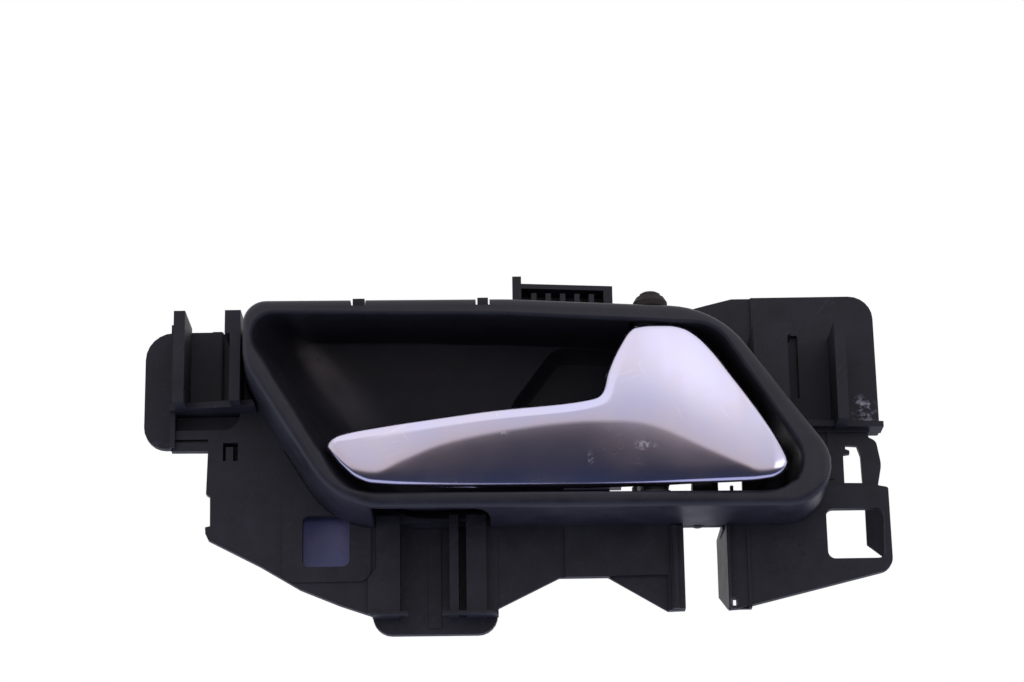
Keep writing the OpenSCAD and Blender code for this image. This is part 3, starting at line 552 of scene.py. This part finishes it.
def add_bar(bm, outline, near, far):
    """A bar of the moulding: an outline in X and Z, drawn along Y. Gives its far corners."""
    corners = [bm.verts.new(Vector((x, near, z)) * MM) for x, z in outline]
    start = bm.faces.new(corners)
    made = bmesh.ops.extrude_face_region(bm, geom=[start])["geom"]
    ends = [v for v in made if isinstance(v, bmesh.types.BMVert)]
    bmesh.ops.translate(bm, verts=ends, vec=(0, (far - near) * MM, 0))
    bar = list({f for v in ends + corners for f in v.link_faces})
    bmesh.ops.recalc_face_normals(bm, faces=bar)
    return ends


# Outlines of the bowl as (x, z, corner radius), the same as the part's
RIM_INNER = [(-16.7, 52.2, 5), (45, 50.9, 120), (95.7, 47.75, 9.7), (122, 5.5, 8.3),
             (6.8, 6.5, 14), (-16.7, 45.3, 8)]
FLOOR_LINE = [(-6.2, 50.8, 4), (45, 50.1, 120), (94, 47.2, 9), (119.5, 7.2, 8), (22, 9, 14), (-6.2, 46, 5)]
RIM_Y, FLOOR_Y, BOWL_MIDDLE = -21.0, 2.0, (45, 28)
# The fillet: its reach and rise, where it fades along X, and how far its sheet lies over the moulding
FILLET_REACH, FILLET_RISE, FILLET_END = 12.0, 1.9, (20.0, 42.0)
FILLET_SHARES = (0.3, 0.4, 0.5, 0.6, 0.7, 0.78, 0.85, 0.9, 0.94, 0.97, 0.99, 1)
FILLET_FLOOR_STEPS = (0.7, FILLET_REACH, 14)
SHEET_OVER, SHEET_DIP, SHEET_HEM = 0.12, 0.1, 3
# The lower lip of the rim: its rise, the front and heights that it takes in, and where it runs out
LIP_RISE, LIP_FRONT, LIP_HEIGHTS, LIP_SPAN = 0.8, -18.2, (4.4, 7.8), (2, 124)
LIP_FOOT, LIP_START, LIP_END = (4.0, 5.4), (3, 14), (112, 122)
# Guard rib and its lip: X and Z of the corners, then the run along Y
GUARD_RIB = ([(58, 17.4), (73.4, 17.4), (73.4, 19.2), (58, 19.2)], 9.6, 22.8)
GUARD_LIP = ([(58, 16), (70.5, 16), (70.5, 18), (58, 18)], 22, 22.9)
# Pocket behind the left window: middle, size, wall and depth
POCKET_MIDDLE, POCKET_SIZE, POCKET_WALL, POCKET_DEPTH = (0, 6, 0.85), (14.1, 7.2, 17.1), 1.2, 5.8
# Guiding tongue behind the right window: its foot, and how far its end leans in, with the lower corner cut
TONGUE = ([(136.9, -6), (137.8, -6), (137.8, 7), (136.9, 7)], 2.4, 8)
TONGUE_LEAN, TONGUE_LOW_CUT, TONGUE_HIGH_CUT = -3.7, 4.8, 2.2


def bowl_outline(share, inset, arc_steps=8, straight_steps=12):
    """Points of the bowl's outline at a share of the way from the rim to the floor, moved inwards."""
    corners = [tuple(p + (q - p) * share for p, q in zip(a, b)) for a, b in zip(RIM_INNER, FLOOR_LINE)]
    moved = []
    for i, (x, z, r) in enumerate(corners):
        (px, pz, _), (nx, nz, _) = corners[i - 1], corners[(i + 1) % len(corners)]
        u, v = Vector((x - px, z - pz)).normalized(), Vector((nx - x, nz - z)).normalized()
        out = Vector((-u.y - v.y, u.x + v.x)) / (1 + u.dot(v))
        moved.append((Vector((x, z)) - out * inset, max(0.4, r - inset)))
    points = []
    for i, (here, r) in enumerate(moved):
        to_last = (moved[i - 1][0] - here).normalized()
        to_next = (moved[(i + 1) % len(moved)][0] - here).normalized()
        half = to_last.angle(to_next) / 2
        centre = here + (to_last + to_next).normalized() * r / math.sin(half)
        start = here + to_last * r / math.tan(half) - centre
        sweep = math.pi - 2 * half
        if to_last.cross(to_next) > 0:
            sweep = -sweep
        arc = [centre + Matrix.Rotation(sweep * k / arc_steps, 2) @ start for k in range(arc_steps + 1)]
        if points:
            last = points[-1]
            points += [last.lerp(arc[0], k / straight_steps) for k in range(1, straight_steps)]
        points += arc
    points += [points[-1].lerp(points[0], k / straight_steps) for k in range(1, straight_steps)]
    return points


def ease(value, low, high):
    """A soft step from 0 to 1 between two values."""
    t = min(1, max(0, (value - low) / (high - low)))
    return t * t * (3 - 2 * t)


def add_bowl_fillet(bm):
    """The broad fillet between the bowl's left and upper sides and its floor, laid over the moulding."""
    # Each level has its share of the way to the floor, its inset, its depth and its part of the rise
    levels = [(0.5 * s + 0.5 * (1 - math.sqrt(1 - s * s)), 0, RIM_Y + (FLOOR_Y - RIM_Y) * s,
               ease(s, FILLET_SHARES[0], 1) ** 2) for s in FILLET_SHARES]
    levels += [(1, d, FLOOR_Y, (1 - d / FILLET_REACH) ** 2) for d in np.linspace(*FILLET_FLOOR_STEPS)]
    rings = []
    for share, inset, y, weight in levels:
        # The sheet's border dips under the moulding's surface, so it never shows
        border = (share, inset) in (levels[0][:2], levels[-1][:2])
        ring = []
        above, below = (bowl_outline(share, inset + side * SHEET_OVER) for side in (1, -1))
        for near, deep in zip(above, below):
            fade = 1 - ease(near.x, *FILLET_END)
            over = 0 if border else 1 - ease(near.x, FILLET_END[1] - SHEET_HEM, FILLET_END[1])
            x, z = deep.lerp(near, over)
            lift = 1.5 * SHEET_DIP * over + FILLET_RISE * weight * fade
            ring.append(Vector((x, y + SHEET_DIP - lift, z)) * MM)
        # The seam lies on the right, where the sheet is cut off
        right = len(ring) // 2
        rings.append(ring[right:] + ring[:right + 1])
    columns, rows = len(rings[0]) - 1, len(rings) - 1
    points = bmesh.ops.create_grid(bm, x_segments=columns, y_segments=rows, size=0.5)["verts"]
    sheet = {f for v in points for f in v.link_faces}
    for v in points:
        v.co = rings[round((v.co.y + 0.5) * rows)][round((v.co.x + 0.5) * columns)]
    beyond = [f for f in sheet if min(v.co.x for v in f.verts) > FILLET_END[1] * MM]
    bmesh.ops.delete(bm, geom=beyond, context="FACES")
    sheet = [f for f in sheet if f.is_valid]
    bm.normal_update()
    if sum(f.normal.y for f in sheet) > 0:
        bmesh.ops.reverse_faces(bm, faces=sheet)
    for face in sheet:
        face.material_index = 1
        face.smooth = True


def inside_outline(x, z, outline):
    """Whether a point lies inside a closed outline."""
    hit = False
    for (ax, az), (bx, bz) in zip(outline, outline[1:] + outline[:1]):
        if (az > z) != (bz > z) and x < (bx - ax) * (z - az) / (bz - az) + ax:
            hit = not hit
    return hit


def make_bezel():
    """The bezel with its grained bowl, its raised lip, its guard rib and the bowl's fillet."""
    bm = merged_node("bezel")
    mouth = [corner[:2] for corner in RIM_INNER]
    for face in bm.faces:
        x, y, z = face.calc_center_median() / MM
        nx, ny, nz = face.normal
        # The bowl's inside faces the front or the middle of the bowl
        inward = (BOWL_MIDDLE[0] - x) * nx * 0.3 + (BOWL_MIDDLE[1] - z) * nz + ny * -12 > 0
        face.material_index = int(y > RIM_Y + 1.2 and inward and inside_outline(x, z, mouth))
    # The lower lip of the rim stands a little higher than its outline
    for v in bm.verts:
        x, y, z = v.co / MM
        if y < LIP_FRONT and LIP_HEIGHTS[0] < z < LIP_HEIGHTS[1] and LIP_SPAN[0] < x < LIP_SPAN[1]:
            v.co.z += LIP_RISE * MM * ease(z, *LIP_FOOT) * ease(x, *LIP_START) * (1 - ease(x, *LIP_END))
    # Guard rib on the bowl's back, over the slot that the cable arm swings in
    add_bar(bm, *GUARD_RIB)
    add_bar(bm, *GUARD_LIP)
    add_bowl_fillet(bm)
    bezel = new_piece("bezel_moulding", bm, bezel_plastic, "housing", ["bezel"])
    bezel.data.materials.append(grained_bowl_with_painted_highlight)
    soften_edges(bezel, 0.22 * MM)


make_bezel()


def make_carrier():
    """The carrier with the pocket and the guiding tongue behind its windows."""
    bm = merged_node("carrier")
    # Pocket behind the left window, for the trim's tongue; its lining takes the painted shade
    block = Matrix.LocRotScale(Vector(POCKET_MIDDLE) * MM, None, Vector(POCKET_SIZE) * MM)
    pocket = bmesh.ops.create_cube(bm, size=1, matrix=block)["verts"]
    bm.normal_update()
    mouth = min({f for v in pocket for f in v.link_faces}, key=lambda f: f.calc_center_median().y)
    bmesh.ops.inset_individual(bm, faces=[mouth], thickness=POCKET_WALL * MM, depth=0)
    bmesh.ops.inset_individual(bm, faces=[mouth], thickness=0, depth=-POCKET_DEPTH * MM)
    mouth.material_index = 1
    for v in add_bar(bm, *TONGUE):
        v.co += Vector((TONGUE_LEAN, 0, TONGUE_LOW_CUT if v.co.z < 0 else TONGUE_HIGH_CUT)) * MM
    carrier = new_piece("carrier_moulding", bm, carrier_plastic, "housing", ["carrier"])
    carrier.data.materials.append(pocket_painted_shade)
    soften_edges(carrier, 0.16 * MM)


make_carrier()
core = new_piece("lever_core_moulding", merged_node("lever_core"), core_plastic, "lever",
                 ["lever_core"])
soften_edges(core, 0.15 * MM)


# Return spring: round wire wound on the pin, with a leg on the lever and one on the bowl

SPRING_R, WIRE_R, WIRE_SIDES, TURNS, TURN_STEPS, SPRING_Z = 3.5, 0.55, 12, 8, 28, (21.0, 36.0)
# Runs of the two legs: X, Y and Z in millimetres and the turn at the end in degrees
LEVER_LEG = [(5, 0.7, -0.2, 0), (7, -0.5, -0.2, 0)]
BOWL_LEG = [(-4.6, 1.5, 0.1, -42), (-3.4, 8, 0.1, -25)]


def wire_leg(bm, ring, runs):
    """Extrudes an open end of wire by each run, and turns it."""
    for x, y, z, turn in runs:
        made = bmesh.ops.extrude_edge_only(bm, edges=ring)["geom"]
        points = [v for v in made if isinstance(v, bmesh.types.BMVert)]
        ring = [e for e in made if isinstance(e, bmesh.types.BMEdge) and e.is_boundary]
        bmesh.ops.translate(bm, verts=points, vec=Vector((x, y, z)) * MM)
        centre = sum((v.co for v in points), Vector()) / len(points)
        bend = Matrix.Rotation(math.radians(turn), 3, "Z")
        bmesh.ops.rotate(bm, verts=points, cent=centre, matrix=bend)


def make_return_spring():
    """A circle of wire spun round the pin as it climbs, with a leg at each end."""
    bm = bmesh.new()
    first = Vector((PIN_X, PIN_Y + SPRING_R, SPRING_Z[0])) * MM
    start = Matrix.Translation(first) @ Matrix.Rotation(math.pi / 2, 4, "Y")
    bmesh.ops.create_circle(bm, segments=WIRE_SIDES, radius=WIRE_R * MM, matrix=start)
    low_ring = list(bm.edges)
    steps = TURNS * TURN_STEPS
    climb = (SPRING_Z[1] - SPRING_Z[0]) / steps * MM
    made = bmesh.ops.spin(bm, geom=low_ring, cent=Vector((PIN_X, PIN_Y, 0)) * MM, axis=(0, 0, 1),
                          dvec=(0, 0, climb), angle=2 * math.pi * TURNS, steps=steps,
                          use_merge=False, use_duplicate=False)
    high_ring = [e for e in made["geom_last"] if isinstance(e, bmesh.types.BMEdge)]
    wire_leg(bm, low_ring, LEVER_LEG)
    wire_leg(bm, high_ring, BOWL_LEG)
    bmesh.ops.holes_fill(bm, edges=[e for e in bm.edges if e.is_boundary], sides=0)
    bmesh.ops.recalc_face_normals(bm, faces=bm.faces)
    smooth_by_angle(bm, 60)
    spring = new_piece("return_spring_wire", bm, spring_steel, None, ["return_spring"])
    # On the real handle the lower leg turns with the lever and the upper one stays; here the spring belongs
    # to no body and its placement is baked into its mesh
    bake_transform(spring)


make_return_spring()


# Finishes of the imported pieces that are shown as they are

for node, finish in {"pivot_pin": pin_steel, "pin_cap": soft_rubber, "rest_buffer": soft_rubber,
                     "open_buffer": soft_rubber}.items():
    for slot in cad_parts[node].material_slots:
        slot.material = finish


# Stage, light and camera

def stage_sheet(name, corners, material, seen=True):
    """A flat sheet of the stage, which the camera may or may not see."""
    bm = bmesh.new()
    bm.faces.new([bm.verts.new(c) for c in corners])
    mesh = bpy.data.meshes.new(name)
    bm.to_mesh(mesh)
    bm.free()
    mesh.materials.append(material)
    sheet = bpy.data.objects.new(name, mesh)
    bpy.context.scene.collection.objects.link(sheet)
    sheet.visible_camera = seen


def stage_finish(name, axis, span, steps, pale=None):
    """A stage finish that glows in steps along an axis, in metres. The camera sees the pale one."""
    material, tree, shader = new_material(name, Roughness=0.95, Specular_IOR_Level=0.05,
                                          Base_Color=pale or (0, 0, 0, 1))
    place = add(tree, "ShaderNodeTexCoord")
    parts = add(tree, "ShaderNodeSeparateXYZ")
    join(tree, place.outputs["Object"], parts.inputs[0])
    share = add(tree, "ShaderNodeMapRange", {"From Min": span[0], "From Max": span[1]})
    join(tree, parts.outputs[axis], share.inputs["Value"])
    ramp = add(tree, "ShaderNodeValToRGB")
    points = ramp.color_ramp.elements
    while len(points) < len(steps):
        points.new(0.5)
    for point, (place_on_span, level) in zip(points, steps):
        point.position = (place_on_span - span[0]) / (span[1] - span[0])
        point.color = level + (1,)
    join(tree, share.outputs[0], ramp.inputs["Fac"])
    glow = add(tree, "ShaderNodeEmission", {"Strength": 1.0})
    join(tree, ramp.outputs["Color"], glow.inputs["Color"])
    paths = add(tree, "ShaderNodeLightPath")
    mix = add(tree, "ShaderNodeMixShader")
    join(tree, paths.outputs["Is Camera Ray"], mix.inputs["Fac"])
    join(tree, glow.outputs[0], mix.inputs[1])
    join(tree, shader.outputs[0], mix.inputs[2])
    join(tree, mix.outputs[0], tree.nodes["Material Output"].inputs["Surface"])
    return material


FLOOR_Z, WALL_Y, WALL_TOP = -0.185, -1.4, 0.66
# A pale floor and a wall behind the camera, which the camera doesn't see. To all other rays both glow with
# painted light and shade, the floor in painted shade in front of the handle and glowing under it: what the
# handle shows in its polish
floor_material = stage_finish("Floor", "Y", (WALL_Y, 0.6), [
    (WALL_Y, (0.46, 0.42, 0.4)), (-0.92, (0.27, 0.235, 0.225)), (-0.64, (0.115, 0.1, 0.105)),
    (-0.48, (0.05, 0.05, 0.065)), (-0.3, (0.033, 0.045, 0.088)), (-0.19, (0.048, 0.064, 0.125)),
    (-0.14, (0.75, 0.82, 1.1)), (0.1, (0.7, 0.76, 1.0)), (0.6, (0.6, 0.6, 0.66))], (0.8, 0.8, 0.82, 1))
wall_material = stage_finish("Wall", "Z", (FLOOR_Z, WALL_TOP), [
    (FLOOR_Z, (0.48, 0.44, 0.42)), (0.1, (0.82, 0.75, 0.7)), (0.3, (0.9, 0.84, 0.8)),
    (0.45, (0.86, 0.81, 0.8)), (WALL_TOP, (0.86, 0.84, 0.88))])
stage_sheet("floor", [(-2, -2, FLOOR_Z), (2, -2, FLOOR_Z), (2, 2, FLOOR_Z), (-2, 2, FLOOR_Z)], floor_material)
stage_sheet("wall", [(-1.4, WALL_Y, FLOOR_Z), (1.5, WALL_Y, FLOOR_Z), (1.5, WALL_Y, WALL_TOP),
                     (-1.4, WALL_Y, WALL_TOP)], wall_material, seen=False)

world = bpy.data.worlds.new("Studio")
bpy.context.scene.world = world
world.use_nodes = True
sky = world.node_tree
background = sky.nodes["Background"]
paths = add(sky, "ShaderNodeLightPath")
seen = add(sky, "ShaderNodeMath", operation="MAXIMUM")
join(sky, paths.outputs["Is Camera Ray"], seen.inputs[0])
shiny = add(sky, "ShaderNodeMath", operation="MAXIMUM")
join(sky, paths.outputs["Is Glossy Ray"], shiny.inputs[0])
join(sky, paths.outputs["Is Transmission Ray"], shiny.inputs[1])
join(sky, shiny.outputs[0], seen.inputs[1])
join(sky, blend_colour(sky, (0.36, 0.36, 0.46, 1), (1, 1, 1, 1), seen.outputs[0]), background.inputs["Color"])


def area_light(name, place, target, width, height, watts, tint=(1, 1, 1)):
    """A rectangular lamp turned to its target."""
    lamp = bpy.data.lights.new(name, "AREA")
    lamp.shape = "RECTANGLE"
    lamp.size, lamp.size_y = width, height
    lamp.energy = watts
    lamp.color = tint
    holder = bpy.data.objects.new(name, lamp)
    facing = (Vector(target) - Vector(place)).to_track_quat("-Z", "Y")
    holder.matrix_world = Matrix.Translation(place) @ facing.to_matrix().to_4x4()
    bpy.context.scene.collection.objects.link(holder)
    return holder


middle = (0.046, 0.0, 0.02)
area_light("Softbox", (0.05, -0.55, 0.7), middle, 1.5, 0.75, 1.25, (0.95, 0.95, 1.0))
area_light("Small lamp", (0.33, -0.9, 0.6), middle, 0.2, 0.2, 0.06)
low_fill = area_light("Low fill", (0.2, -0.75, -0.08), (0.06, 0, 0), 0.4, 0.15, 0.38, (0.86, 0.88, 1.0))
side_fill = area_light("Side fill", (-0.6, -0.6, -0.1), (0.02, 0, 0.02), 0.5, 0.3, 1.2, (0.86, 0.88, 1.0))
area_light("Side lamp", (0.75, -0.65, 0.12), middle, 0.3, 0.3, 0.5, (1.0, 0.97, 0.96))
rear_fill = area_light("Rear fill", (0.1, 0.9, 0.5), middle, 0.8, 0.5, 2.0)
for lamp in (low_fill, side_fill, rear_fill):
    lamp.visible_glossy = False


def photo_camera():
    """The photograph's view: 17 degrees from below, rolled a little."""
    tilt, roll = math.radians(17), math.radians(0.86)
    aim, distance, focal_length = Vector((0.046236, 0, 0.050574)), 0.691, 97.17
    ahead = Vector((0, math.cos(tilt), math.sin(tilt)))
    side, up = Vector((1, 0, 0)), Vector((0, -math.sin(tilt), math.cos(tilt)))
    right = side * math.cos(roll) - up * math.sin(roll)
    top = side * math.sin(roll) + up * math.cos(roll)
    lens = bpy.data.cameras.new("Camera")
    lens.sensor_width = 36
    lens.lens = focal_length
    lens.clip_start = 0.01
    camera = bpy.data.objects.new("Camera", lens)
    turn = Matrix((right, top, -ahead)).transposed().to_4x4()
    camera.matrix_world = Matrix.Translation(aim - ahead * distance) @ turn
    bpy.context.scene.collection.objects.link(camera)
    return camera


bpy.context.scene.camera = photo_camera()
bpy.context.scene.view_settings.view_transform = "Standard"
